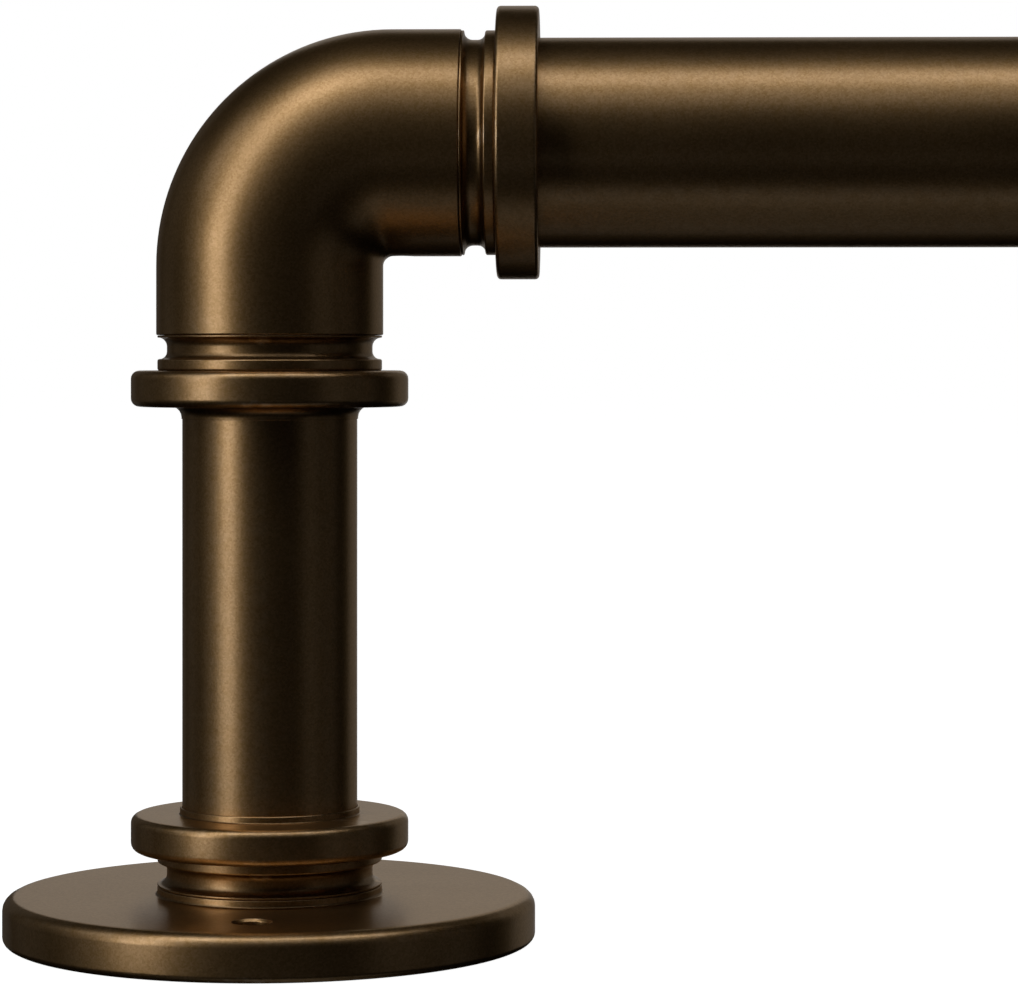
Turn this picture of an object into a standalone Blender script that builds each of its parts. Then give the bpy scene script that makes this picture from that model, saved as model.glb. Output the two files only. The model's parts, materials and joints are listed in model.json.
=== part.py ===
"""Telescoping curtain rod carried by two pipe-style wall brackets.

The rod lies along X. Each bracket stands on a round wall plate at z = 0, the plane of the wall,
and holds the rod's axis at the stand-off height. Both brackets are the same, half a turn apart.
The outer tube belongs to the left bracket. The inner tube slides in it with the right bracket.
"""

import math

import bmesh
import bpy
from mathutils import Matrix, Vector

MM = 0.001

# Rod
ROD_DIAMETER = 25.4 * MM
OUTER_TUBE_WALL = 1.0 * MM
INNER_TUBE_WALL = 1.0 * MM
TELESCOPE_GAP = 0.6 * MM
POST_SPACING_CLOSED = 711.0 * MM
TRAVEL = 508.0 * MM
EXTENSION_AT_REST = 40.0 * MM
CLOSED_MOUTH_GAP = 2.0 * MM
LEAST_ENGAGEMENT = 80.0 * MM

# Bracket
ROD_STANDOFF = 96.5 * MM
POST_DIAMETER = 21.2 * MM
POST_WALL = 1.2 * MM
ELBOW_LIMB = 8.4 * MM
ELBOW_SEAT = 0.5 * MM
INNER_BEND_RADIUS = 1.15 * MM

# Wall plate
PLATE_DIAMETER = 64.4 * MM
PLATE_THICKNESS = 5.6 * MM
PLATE_TOP_FILLET = 1.6 * MM
PLATE_BACK_FILLET = 0.9 * MM
BOSS_HEIGHT = 1.0 * MM
WALL_SCREW_HOLE = 4.2 * MM
WALL_SCREW_BEVEL = 0.5 * MM
WALL_SCREW_COUNT = 2

# Collars: a groove next to the elbow or the plate, then a lip, then a ring
COLLAR_WALL = 1.85 * MM
GROOVE_EDGE = 0.25 * MM
GROOVE_WIDTH = 2.9 * MM
GROOVE_DEPTH = 1.3 * MM
GROOVE_FILLET = 0.9 * MM
LIP_WIDTH = 1.3 * MM
LIP_SETBACK = 0.15 * MM
RING_PROUD = 3.05 * MM
RING_FILLET = 1.0 * MM
POST_RING_WIDTH = 4.45 * MM
ROD_RING_WIDTH = 5.2 * MM
ROD_RING_WALL = 3.85 * MM
POST_SKIRT = 0.35 * MM
POST_SKIRT_LENGTH = 1.5 * MM
POST_SKIRT_FILLET = 1.3 * MM

# Hidden joints
POST_SOCKET_DEPTH = 5.0 * MM
ROD_SOCKET_DEPTH = 3.6 * MM
SPIGOT_WALL = 2.0 * MM
SPIGOT_IN_ROD = 30.0 * MM
SLEEVE_LENGTH = 25.0 * MM
PLUG_LENGTH = 12.0 * MM
GLIDE_FLANGE = 2.5 * MM
GLIDE_BODY = 10.0 * MM
GLIDE_HOLE = 8.0 * MM
FIT_GAP = 0.3 * MM

# Fasteners
CLAMP_SCREW = 6.0 * MM
CLAMP_HEAD_DEPTH = 2.65 * MM
CLAMP_ENGAGEMENT = 9.5 * MM
CLAMP_KEY = 4.0 * MM
CLAMP_KEY_DEPTH = 2.2 * MM
SET_SCREW = 3.0 * MM
SET_SCREW_SETBACK = 7.4 * MM
SET_SCREW_BITE = 1.2 * MM
SET_SCREW_KEY = 1.5 * MM
SET_SCREW_KEY_DEPTH = 1.5 * MM
SPIGOT_PAST_SCREW = 3.0 * MM

# Mesh fineness
AROUND = 28
PLATE_AROUND = 40
SCREW_AROUND = 12
FILLET_STEPS = 2
BEND_STEPS = 6

# Radii that follow from the driving sizes
rod_radius = ROD_DIAMETER / 2
outer_bore = rod_radius - OUTER_TUBE_WALL
inner_tube_radius = outer_bore - TELESCOPE_GAP
inner_bore = inner_tube_radius - INNER_TUBE_WALL
spigot_radius = inner_bore - FIT_GAP
elbow_bore = spigot_radius + FIT_GAP
post_radius = POST_DIAMETER / 2
post_bore = post_radius - POST_WALL
post_limb_bore = post_radius - ELBOW_SEAT
neck_radius = max(post_radius, spigot_radius) + COLLAR_WALL
elbow_radius = neck_radius + GROOVE_DEPTH
lip_radius = elbow_radius - LIP_SETBACK
post_ring_radius = elbow_radius + RING_PROUD
rod_ring_radius = max(rod_radius + ROD_RING_WALL, lip_radius + RING_FILLET)
rod_socket = rod_radius + FIT_GAP
post_socket = post_radius + FIT_GAP
plate_radius = PLATE_DIAMETER / 2
wall_screw_circle = (plate_radius + lip_radius) / 2
clamp_hole = CLAMP_SCREW / 2 + FIT_GAP
clamp_countersink = CLAMP_HEAD_DEPTH + 1.5 * FIT_GAP
set_screw_hole = SET_SCREW / 2 + FIT_GAP

# Heights above the wall, and distances out from the post's axis
boss_top = PLATE_THICKNESS + BOSS_HEIGHT
collar_to_lip = GROOVE_WIDTH + LIP_WIDTH
base_collar_top = boss_top + collar_to_lip + POST_RING_WIDTH
post_bottom = base_collar_top - POST_SOCKET_DEPTH + FIT_GAP
bend_radius = elbow_radius + INNER_BEND_RADIUS
elbow_reach = bend_radius + ELBOW_LIMB
elbow_bottom = ROD_STANDOFF - elbow_reach
rod_ring_face = elbow_reach + collar_to_lip + ROD_RING_WIDTH
rod_start = rod_ring_face - ROD_SOCKET_DEPTH + FIT_GAP
set_screw_reach = elbow_reach - SET_SCREW_SETBACK
spigot_start = set_screw_reach - SPIGOT_PAST_SCREW

# The rod's length, from the left post's axis
mouth = POST_SPACING_CLOSED - rod_ring_face - CLOSED_MOUTH_GAP
inner_tube_length = TRAVEL + LEAST_ENGAGEMENT + CLOSED_MOUTH_GAP + ROD_SOCKET_DEPTH - FIT_GAP
post_spacing = POST_SPACING_CLOSED + EXTENSION_AT_REST


def clear_scene():
    for thing in list(bpy.data.objects):
        bpy.data.objects.remove(thing, do_unlink=True)


def finish(name, colour, roughness, metallic):
    material = bpy.data.materials.new(name)
    material.use_nodes = True
    shader = material.node_tree.nodes["Principled BSDF"]
    shader.inputs["Base Color"].default_value = (*colour, 1.0)
    shader.inputs["Roughness"].default_value = roughness
    shader.inputs["Metallic"].default_value = metallic
    return material


def empty(name, location, turn=0.0, parent=None):
    holder = bpy.data.objects.new(name, None)
    holder.location = location
    holder.rotation_euler = (0.0, 0.0, turn)
    holder.parent = parent
    bpy.context.collection.objects.link(holder)
    return holder


def add(name, mesh, material, parent, location=(0.0, 0.0, 0.0), rotation=(0.0, 0.0, 0.0)):
    piece = bpy.data.objects.new(name, mesh)
    mesh.materials.append(material)
    piece.parent = parent
    piece.location = location
    piece.rotation_euler = rotation
    bpy.context.collection.objects.link(piece)
    return piece


def rounded(corners):
    """The outline through closed (radius, height, fillet) corners, with each fillet as an arc."""
    outline = []
    for index, (radius, height, fillet) in enumerate(corners):
        corner = Vector((radius, height))
        if fillet == 0.0:
            outline.append(corner)
            continue
        back = (Vector(corners[index - 1][:2]) - corner).normalized()
        ahead = (Vector(corners[(index + 1) % len(corners)][:2]) - corner).normalized()
        half_angle = back.angle(ahead) / 2
        centre = corner + (back + ahead).normalized() * (fillet / math.sin(half_angle))
        arm = corner + back * (fillet / math.tan(half_angle)) - centre
        sweep = math.pi - 2 * half_angle
        if back.x * ahead.y - back.y * ahead.x > 0:
            sweep = -sweep
        for step in range(FILLET_STEPS + 1):
            outline.append(centre + Matrix.Rotation(sweep * step / FILLET_STEPS, 2) @ arm)
    return outline


def turned(corners, around=AROUND):
    """A solid turned about Z from a closed outline of (radius, height[, fillet]) corners."""
    outline = rounded([(*corner, 0.0)[:3] for corner in corners])
    shape = bmesh.new()
    verts = [shape.verts.new((radius, 0.0, height)) for radius, height in outline]
    edges = [shape.edges.new(pair) for pair in zip(verts, verts[1:] + verts[:1])
             if pair[0].co.x + pair[1].co.x > 0.0]
    bmesh.ops.spin(shape, geom=verts + edges, cent=(0, 0, 0), axis=(0, 0, 1),
                   angle=math.tau, steps=around, use_merge=True)
    bmesh.ops.remove_doubles(shape, verts=shape.verts, dist=0.001 * MM)
    return closed_mesh(shape)


def closed_mesh(shape):
    bmesh.ops.recalc_face_normals(shape, faces=shape.faces)
    mesh = bpy.data.meshes.new("shape")
    shape.to_mesh(mesh)
    shape.free()
    mesh.shade_smooth()
    mesh.set_sharp_from_angle(angle=math.radians(40))
    return mesh


def tube(outer, bore, low, high):
    return turned([(bore, low), (outer, low), (outer, high), (bore, high)])


def bar(radius, low, high, around):
    return turned([(0, low), (radius, low), (radius, high), (0, high)], around)


def cut(piece, cutter_mesh, location=(0.0, 0.0, 0.0)):
    """Cut a piece with a cutter that is placed in the piece's own parent's space."""
    cutter = add("cutter", cutter_mesh, piece.data.materials[0], piece.parent, location)
    cutter.hide_render = True
    cutter.display_type = "WIRE"
    boolean = piece.modifiers.new("Cut", "BOOLEAN")
    boolean.operation = "DIFFERENCE"
    boolean.solver = "EXACT"
    boolean.object = cutter


def key_socket(across_flats, low, high):
    """A hexagonal bar that cuts the socket for a hex key."""
    return bar(across_flats / math.sqrt(3), low, high, 6)


def collar(ring_radius, ring_width, inside):
    """The outside that all collars share. Height 0 is the face of the elbow or plate it meets."""
    ring_end = collar_to_lip + ring_width
    groove_start = FIT_GAP + GROOVE_EDGE
    return turned([
        (lip_radius, FIT_GAP),
        (lip_radius, groove_start),
        (neck_radius, groove_start, GROOVE_FILLET),
        (neck_radius, GROOVE_WIDTH, GROOVE_FILLET),
        (lip_radius, GROOVE_WIDTH),
        (lip_radius, collar_to_lip),
        (ring_radius, collar_to_lip, RING_FILLET),
        (ring_radius, ring_end, RING_FILLET),
    ] + inside)


def build_wall_plate(side, bracket, bronze):
    plate = add(side + "_wall_plate", turned([
        (clamp_hole + clamp_countersink, 0.0),
        (plate_radius, 0.0, PLATE_BACK_FILLET),
        (plate_radius, PLATE_THICKNESS, PLATE_TOP_FILLET),
        (lip_radius, PLATE_THICKNESS),
        (lip_radius, boss_top),
        (clamp_hole, boss_top),
        (clamp_hole, clamp_countersink),
    ], PLATE_AROUND), bronze, bracket)
    hole = WALL_SCREW_HOLE / 2
    for index in range(WALL_SCREW_COUNT):
        angle = math.tau * index / WALL_SCREW_COUNT - math.pi / 2
        cut(plate, turned([
            (0, -PLATE_THICKNESS),
            (hole, -PLATE_THICKNESS),
            (hole, PLATE_THICKNESS - WALL_SCREW_BEVEL),
            (hole + 2 * WALL_SCREW_BEVEL, PLATE_THICKNESS + WALL_SCREW_BEVEL),
            (0, PLATE_THICKNESS + WALL_SCREW_BEVEL),
        ], SCREW_AROUND), (wall_screw_circle * math.cos(angle), wall_screw_circle * math.sin(angle), 0))


def build_base_collar(side, bracket, bronze):
    top = collar_to_lip + POST_RING_WIDTH
    floor = top - POST_SOCKET_DEPTH
    mesh = collar(post_ring_radius, POST_RING_WIDTH, [
        (post_socket, top),
        (post_socket, floor),
        (clamp_hole, floor),
        (clamp_hole, FIT_GAP),
    ])
    add(side + "_base_collar", mesh, bronze, bracket, (0, 0, boss_top))


def build_clamp_screw(side, bracket, steel):
    shank = CLAMP_SCREW / 2
    tip = post_bottom + CLAMP_ENGAGEMENT
    screw = add(side + "_clamp_screw", turned([
        (0, FIT_GAP),
        (shank + CLAMP_HEAD_DEPTH, FIT_GAP),
        (shank, FIT_GAP + CLAMP_HEAD_DEPTH),
        (shank, tip),
        (0, tip),
    ], SCREW_AROUND), steel, bracket)
    cut(screw, key_socket(CLAMP_KEY, -CLAMP_KEY_DEPTH, FIT_GAP + CLAMP_KEY_DEPTH))


def build_post(side, bracket, bronze, steel):
    top = elbow_bottom - FIT_GAP
    add(side + "_post_tube", tube(post_radius, post_bore, post_bottom, top), bronze, bracket)
    plug = post_bore - FIT_GAP
    plug_in_elbow = post_limb_bore - FIT_GAP
    add(side + "_post_foot_plug", tube(plug, clamp_hole, post_bottom, post_bottom + PLUG_LENGTH),
        steel, bracket)
    bore = plug - SPIGOT_WALL
    add(side + "_post_top_plug", turned([
        (bore, elbow_bottom - PLUG_LENGTH),
        (plug, elbow_bottom - PLUG_LENGTH),
        (plug, elbow_bottom),
        (plug_in_elbow, elbow_bottom),
        (plug_in_elbow, elbow_bottom + ELBOW_LIMB),
        (bore, elbow_bottom + ELBOW_LIMB),
    ]), steel, bracket)


def build_post_collar(side, bracket, bronze):
    ring_end = collar_to_lip + POST_RING_WIDTH
    skirt = post_socket + POST_SKIRT
    mesh = collar(post_ring_radius, POST_RING_WIDTH, [
        (skirt, ring_end, POST_SKIRT_FILLET),
        (skirt, ring_end + POST_SKIRT_LENGTH),
        (post_socket, ring_end + POST_SKIRT_LENGTH),
        (post_socket, FIT_GAP),
    ])
    add(side + "_post_collar", mesh, bronze, bracket, (0, 0, elbow_bottom), (math.pi, 0, 0))


def elbow_stations():
    """Places along the elbow's centre line, as matrices that put a circle across it."""
    bend_centre = Vector((bend_radius, 0, elbow_bottom + ELBOW_LIMB))
    yield Matrix.Translation((0, 0, elbow_bottom))
    for step in range(BEND_STEPS + 1):
        turn = Matrix.Rotation(math.pi / 2 * step / BEND_STEPS, 4, "Y")
        yield Matrix.Translation(bend_centre) @ turn @ Matrix.Translation((-bend_radius, 0, 0))
    yield Matrix.Translation((elbow_reach, 0, ROD_STANDOFF)) @ Matrix.Rotation(math.pi / 2, 4, "Y")


def build_elbow(side, bracket, bronze):
    """The post's limb is bored to seat on the post's end, and the rest to take the rod's spigot."""
    shape = bmesh.new()
    stations = list(elbow_stations())
    outside = [elbow_radius] * len(stations)
    bore = [post_limb_bore] * 2 + [elbow_bore] * (len(stations) - 2)
    rings = []
    for radius, station in [*zip(outside, stations), *reversed([*zip(bore, stations)])]:
        ring = bmesh.ops.create_circle(shape, segments=AROUND, radius=radius, matrix=station)
        rings.append(ring["verts"])
    for ring, following in zip(rings, rings[1:] + rings[:1]):
        for index in range(AROUND):
            back = index - 1
            shape.faces.new((ring[back], ring[index], following[index], following[back]))
    elbow = add(side + "_elbow", closed_mesh(shape), bronze, bracket)
    lowest = ROD_STANDOFF - elbow_radius - SET_SCREW
    cut(elbow, bar(set_screw_hole, lowest, ROD_STANDOFF - elbow_bore / 2, SCREW_AROUND),
        (set_screw_reach, 0, 0))


def build_set_screw(side, bracket, black):
    low = ROD_STANDOFF - elbow_radius + FIT_GAP
    high = ROD_STANDOFF - spigot_radius + SET_SCREW_BITE
    screw = add(side + "_set_screw", bar(SET_SCREW / 2, low, high, SCREW_AROUND), black, bracket,
                (set_screw_reach, 0, 0))
    cut(screw, key_socket(SET_SCREW_KEY, low - SET_SCREW_KEY_DEPTH, low + SET_SCREW_KEY_DEPTH),
        (set_screw_reach, 0, 0))


def build_rod_collar(side, bracket, bronze):
    top = collar_to_lip + ROD_RING_WIDTH
    floor = top - ROD_SOCKET_DEPTH
    mesh = collar(rod_ring_radius, ROD_RING_WIDTH, [
        (rod_socket, top),
        (rod_socket, floor),
        (elbow_bore, floor),
        (elbow_bore, FIT_GAP),
    ])
    add(side + "_rod_collar", mesh, bronze, bracket, (elbow_reach, 0, ROD_STANDOFF),
        (0, math.pi / 2, 0))


def build_spigot(side, bracket, steel):
    end = rod_start + SPIGOT_IN_ROD
    mesh = tube(spigot_radius, spigot_radius - SPIGOT_WALL, spigot_start, end)
    spigot = add(side + "_rod_spigot", mesh, steel, bracket, (0, 0, ROD_STANDOFF),
                 (0, math.pi / 2, 0))
    cut(spigot, bar(set_screw_hole, ROD_STANDOFF - rod_radius, ROD_STANDOFF, SCREW_AROUND),
        (set_screw_reach, 0, 0))


def build_bracket(side, bracket, bronze, steel, black):
    build_wall_plate(side, bracket, bronze)
    build_base_collar(side, bracket, bronze)
    build_clamp_screw(side, bracket, steel)
    build_post(side, bracket, bronze, steel)
    build_post_collar(side, bracket, bronze)
    build_elbow(side, bracket, bronze)
    build_set_screw(side, bracket, black)
    build_rod_collar(side, bracket, bronze)
    build_spigot(side, bracket, steel)


def build_outer_tube(left_rod_end, bronze, nylon):
    along = (0, math.pi / 2, 0)
    add("rod_outer_tube", tube(rod_radius, outer_bore, rod_start, mouth), bronze, left_rod_end,
        rotation=along)
    add("spigot_sleeve", tube(outer_bore - FIT_GAP, elbow_bore, rod_start,
                              rod_start + SLEEVE_LENGTH), nylon, left_rod_end, rotation=along)


def build_inner_tube(right_rod_end, bronze, nylon):
    along = (0, math.pi / 2, 0)
    end = rod_start + inner_tube_length
    add("rod_inner_tube", tube(inner_tube_radius, inner_bore, rod_start, end), bronze,
        right_rod_end, rotation=along)
    add("reducer_ring", tube(rod_socket - FIT_GAP, inner_tube_radius + FIT_GAP, rod_start,
                             rod_ring_face), bronze, right_rod_end, rotation=along)
    flange = outer_bore - FIT_GAP
    add("inner_tube_glide", turned([
        (GLIDE_HOLE / 2, end - GLIDE_BODY),
        (inner_bore - FIT_GAP, end - GLIDE_BODY),
        (inner_bore - FIT_GAP, end + FIT_GAP),
        (flange, end + FIT_GAP),
        (flange, end + FIT_GAP + GLIDE_FLANGE),
        (GLIDE_HOLE / 2, end + FIT_GAP + GLIDE_FLANGE),
    ]), nylon, right_rod_end, rotation=along)


def main():
    clear_scene()
    bronze = finish("dark_bronze", (0.085, 0.052, 0.028), 0.36, 1.0)
    steel = finish("zinc_plated_steel", (0.56, 0.56, 0.55), 0.35, 1.0)
    black = finish("black_oxide", (0.03, 0.03, 0.032), 0.45, 1.0)
    nylon = finish("black_nylon", (0.03, 0.03, 0.03), 0.5, 0.0)
    left = empty("left_bracket", (-post_spacing / 2, 0, 0))
    telescope = empty("telescope", (post_spacing / 2, 0, ROD_STANDOFF))
    right = empty("right_bracket", (0, 0, -ROD_STANDOFF), math.pi, telescope)
    build_bracket("left", left, bronze, steel, black)
    build_bracket("right", right, bronze, steel, black)
    left_rod_end = empty("left_rod_end", (0, 0, ROD_STANDOFF), parent=left)
    right_rod_end = empty("right_rod_end", (0, 0, ROD_STANDOFF), parent=right)
    build_outer_tube(left_rod_end, bronze, nylon)
    build_inner_tube(right_rod_end, bronze, nylon)


main()
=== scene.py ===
"""Looks of a telescoping curtain rod with two pipe-style wall brackets.

Sizes that the mechanism depends on are read from the frame. Finer ones, such as fillets, grooves
and threads, are properties of the scene, listed by the panel in the 3D view's sidebar. Each piece
is drawn round its own axis, and a matrix sets it in its place on the left or the right bracket.
"""

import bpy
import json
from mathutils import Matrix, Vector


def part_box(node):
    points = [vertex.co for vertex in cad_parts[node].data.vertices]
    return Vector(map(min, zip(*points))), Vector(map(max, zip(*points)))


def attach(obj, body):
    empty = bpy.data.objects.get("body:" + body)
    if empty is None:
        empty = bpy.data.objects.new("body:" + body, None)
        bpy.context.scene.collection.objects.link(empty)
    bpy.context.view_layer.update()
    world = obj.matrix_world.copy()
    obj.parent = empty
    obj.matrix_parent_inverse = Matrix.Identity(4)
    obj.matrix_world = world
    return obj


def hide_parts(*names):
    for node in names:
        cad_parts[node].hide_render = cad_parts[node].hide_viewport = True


bl_info = {
    "name": "Curtain rod with brackets",
    "version": (1, 0, 0),
    "blender": (4, 5, 0),
    "location": "3D View > Sidebar > Curtain Rod",
    "description": "Turns, bends and finishes the pieces of a telescoping curtain rod",
    "category": "Add Mesh",
}

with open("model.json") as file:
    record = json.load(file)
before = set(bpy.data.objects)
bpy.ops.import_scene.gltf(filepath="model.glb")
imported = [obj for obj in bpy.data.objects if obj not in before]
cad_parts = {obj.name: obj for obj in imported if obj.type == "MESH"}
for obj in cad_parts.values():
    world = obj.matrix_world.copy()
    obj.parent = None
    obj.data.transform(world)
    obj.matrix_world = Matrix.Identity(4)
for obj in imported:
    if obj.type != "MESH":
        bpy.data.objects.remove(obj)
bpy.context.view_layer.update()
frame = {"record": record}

from functools import partial
import json
import math

import bpy
from bpy.props import FloatProperty, FloatVectorProperty, IntProperty, PointerProperty
from mathutils import Matrix, Vector

MM = 0.001
SIDES = ("left", "right")
HIDDEN_TURNS = 48  # faces round a piece that is mostly hidden
PLATE_TURNS = 48  # faces that a wall plate has more than narrower pieces
SHARP_ANGLE = math.radians(32.0)  # past which an edge between two faces isn't smoothed
BEND_STEPS = 40  # faces along an elbow's bend
THREAD_STEPS = 8  # faces along a shank for each turn of its thread
THREAD_CORE = 0.98  # share of a shank's radius inside which no thread is cut
MERGE_DISTANCE = 0.002 * MM
SPIGOT_PLAY = 0.3 * MM  # round a spigot, in its elbow and its collar
SOCKET_FLOOR = 0.5 * MM  # what a clamp screw's hex socket leaves of its head
GLIDE_HOLE = 4 * MM  # radius of the hole through the glide
FLOOR_HALF = 30.0
FLOOR_DROP = 0.2 * MM  # how far the floor stays below the wall plates
ROOM_GLOW = 0.001  # what the metal reflects where no light is


# ---------------- properties

def length(name, description, millimetres):
    return FloatProperty(name=name, description=description, default=millimetres * MM,
                         unit="LENGTH", precision=5)


def fraction(name, description, value, most=1.0):
    return FloatProperty(name=name, description=description, default=value, min=0.0, max=most)


def colour(name, description, value):
    return FloatVectorProperty(name=name, description=description, default=value,
                               subtype="COLOR", size=3, min=0.0, max=1.0)


class RodSizes(bpy.types.PropertyGroup):
    """Details of the pieces that the frame doesn't hold."""

    seam: length("Seam", "Gap between pieces that touch", 0.05)
    break_edge: length("Broken edge", "Fillet on edges that are only broken", 0.18)
    boss_height: length("Boss height", "Low step in the middle of the wall plate", 1.0)
    plate_fillet: length("Plate fillet", "Fillet round the front of the wall plate", 1.6)
    plate_back_fillet: length("Plate back fillet", "Fillet round the back of the wall plate", 0.9)
    boss_fillet: length("Boss fillet", "Hollow fillet where the boss meets the plate", 0.35)
    wall_screw: length("Wall screw hole", "Diameter of the holes for the wall screws", 4.2)
    wall_screw_bevel: length("Wall screw bevel", "Bevel at the mouth of those holes", 0.3)
    groove_edge: length("Groove rim", "Thin rim between a collar's face and its groove", 0.25)
    groove_width: length("Groove width", "Distance from a collar's face to its lip", 2.9)
    groove_depth: length("Groove depth", "How deep the groove is cut below the elbow's size", 1.3)
    groove_fillet: length("Groove fillet", "Fillets at the groove's floor", 1.1)
    lip_width: length("Lip width", "Width of the lip between groove and ring", 1.3)
    lip_edge: length("Lip edge", "Round along both edges of the lip", 0.3)
    lip_setback: length("Lip setback", "How far the lip is below the elbow's size", 0.15)
    ring_fillet: length("Ring fillet", "Fillet on both edges of a collar's ring", 1.0)
    rod_ring_fillet: length("Rod ring fillet", "Round along both edges of the ring on the rod", 0.5)
    skirt: length("Skirt", "Thickness of the skirt where the upper collar meets the post", 0.1)
    skirt_length: length("Skirt length", "Length of that skirt", 1.5)
    skirt_fillet: length("Skirt fillet", "Hollow fillet from the ring to that skirt", 1.3)
    bead: length("Foot bead", "How far the bead round the post's foot stands out", 0.28)
    bead_height: length("Foot bead height", "Height of that bead", 0.85)
    elbow_limb: length("Elbow limb", "Straight part at each end of the elbow", 8.4)
    tube_wall: length("Tube wall", "Wall of the post and of both rod tubes", 1.0)
    tube_edge: length("Tube edge", "Fillet on the cut ends of the tubes", 0.3)
    socket_edge: length("Socket edge", "Fillet at the mouth of the rod collar's socket", 0.3)
    clamp_screw: length("Clamp screw", "Diameter of the clamp screw", 6.0)
    clamp_thread: length("Clamp thread pitch", "Pitch of the clamp screw", 1.0)
    set_thread: length("Set screw pitch", "Pitch of the set screw", 0.5)
    around: IntProperty(name="Around", description="Faces round a visible turned piece",
                        default=112, min=24, max=256)
    fillet_steps: IntProperty(name="Fillet steps", description="Faces across a fillet",
                              default=5, min=1, max=16)


class RodFinishes(bpy.types.PropertyGroup):
    """Colours and surface of the finishes."""

    bronze: colour("Bronze", "Colour of the lacquered bronze", (0.43, 0.262, 0.115))
    bronze_deep: colour("Bronze shade", "Colour between the flakes", (0.32, 0.186, 0.068))
    # Painted highlight: the pale colour that convex bronze edges are lightened towards
    bronze_painted_highlight: colour("Bronze edge", "Colour where handling thins the lacquer", (0.75, 0.6, 0.42))
    # Painted shade: the dark colour that bronze recesses are darkened towards
    bronze_painted_shade: colour("Bronze recess", "Colour where lacquer pools", (0.05, 0.026, 0.01))
    bronze_glance: colour("Bronze glance", "Tint at a glancing angle", (1.0, 0.84, 0.62))
    bronze_roughness: fraction("Bronze roughness", "Roughness of the bronze", 0.36)
    lacquer: fraction("Lacquer", "Weight of the clear lacquer over the bronze", 0.45)
    lacquer_roughness: fraction("Lacquer roughness", "Roughness of that lacquer", 0.22)
    flake_size: length("Flake size", "Size of the flakes in the lacquer", 0.22)
    flake_tilt: fraction("Flake tilt", "How far the flakes lean out of the surface", 0.5)
    zinc: colour("Zinc", "Colour of the plated steel", (0.62, 0.62, 0.6))
    oxide: colour("Black oxide", "Colour of the set screws", (0.035, 0.034, 0.036))
    nylon: colour("Nylon", "Colour of the sleeve and the glide", (0.022, 0.022, 0.023))


class RodStudio(bpy.types.PropertyGroup):
    """Camera, floor and lights."""

    camera_offset: FloatVectorProperty(
        name="Camera offset", description="Camera's place from the left post's foot",
        default=(0.03909, -0.4334, 0.07087), subtype="TRANSLATION", size=3, precision=5)
    camera_pan: FloatProperty(name="Camera pan", description="Turn to the left",
                              default=math.radians(1.33), subtype="ANGLE")
    camera_drop: FloatProperty(name="Camera drop", description="Lens shift that lowers the view",
                               default=0.1367)
    lens: FloatProperty(name="Lens", description="Focal length on a 36 mm wide sensor",
                        default=126.49, min=10.0, unit="CAMERA")
    key_strength: fraction("Key strength", "Radiance of the two low softboxes", 2.25, 10.0)
    arch_strength: fraction("Arch strength", "Radiance of the arch above them", 1.9, 10.0)
    top_strength: fraction("Top strength", "Radiance of the long softbox over the rod", 1.9, 10.0)
    fill_strength: fraction("Fill strength", "Radiance of the weak fills", 0.08, 10.0)
    card_strength: fraction("Card strength", "Radiance of the pale card behind", 0.36, 10.0)
    backdrop: fraction("Backdrop", "Brightness of the backdrop", 1.0, 2.0)


# ---------------- node trees

def new_tree(name, kind, inputs, outputs):
    """An empty tree with named sockets, and its input and output nodes."""
    tree = bpy.data.node_groups.new(name, kind)
    for socket_name, socket_type, default in inputs:
        socket = tree.interface.new_socket(socket_name, in_out="INPUT", socket_type=socket_type)
        if default is not None:
            socket.default_value = default
    for socket_name, socket_type in outputs:
        tree.interface.new_socket(socket_name, in_out="OUTPUT", socket_type=socket_type)
    return tree, tree.nodes.new("NodeGroupInput"), tree.nodes.new("NodeGroupOutput")


def node(tree, kind, inputs=(), **settings):
    """A node with its settings, and its inputs as values or as sockets to link from."""
    made = tree.nodes.new(kind)
    for name, value in settings.items():
        setattr(made, name, value)
    for name, value in dict(inputs).items():
        if isinstance(value, bpy.types.NodeSocket):
            tree.links.new(value, made.inputs[name])
        else:
            made.inputs[name].default_value = value
    return made


def maths(tree, operation, *values):
    """A Math node's result."""
    return node(tree, "ShaderNodeMath", dict(enumerate(values)), operation=operation).outputs[0]


def ranged(tree, value, start=0.0, end=1.0, low=0.0, high=1.0):
    """From low to high as a value goes from start to end, and no further."""
    return node(tree, "ShaderNodeMapRange", {
        "Value": value, "From Min": start, "From Max": end, "To Min": low, "To Max": high,
    }).outputs[0]


def completed(tree, outside, **results):
    """A tree with its results linked, and its nodes in rows in the order of their making."""
    for name, socket in results.items():
        tree.links.new(socket, outside.inputs[name])
    for index, each in enumerate(tree.nodes):
        row, column = divmod(index, 8)
        each.location = (220 * column, -260 * row)
    return tree


def titled(values):
    """Keywords as the names of sockets."""
    return {key.replace("_", " ").title(): value for key, value in values.items()}


OUTLINE_SOCKETS = [
    ("Outline", "NodeSocketGeometry", None), ("Around", "NodeSocketInt", 96),
    ("Fillet Steps", "NodeSocketInt", 5)]


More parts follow.
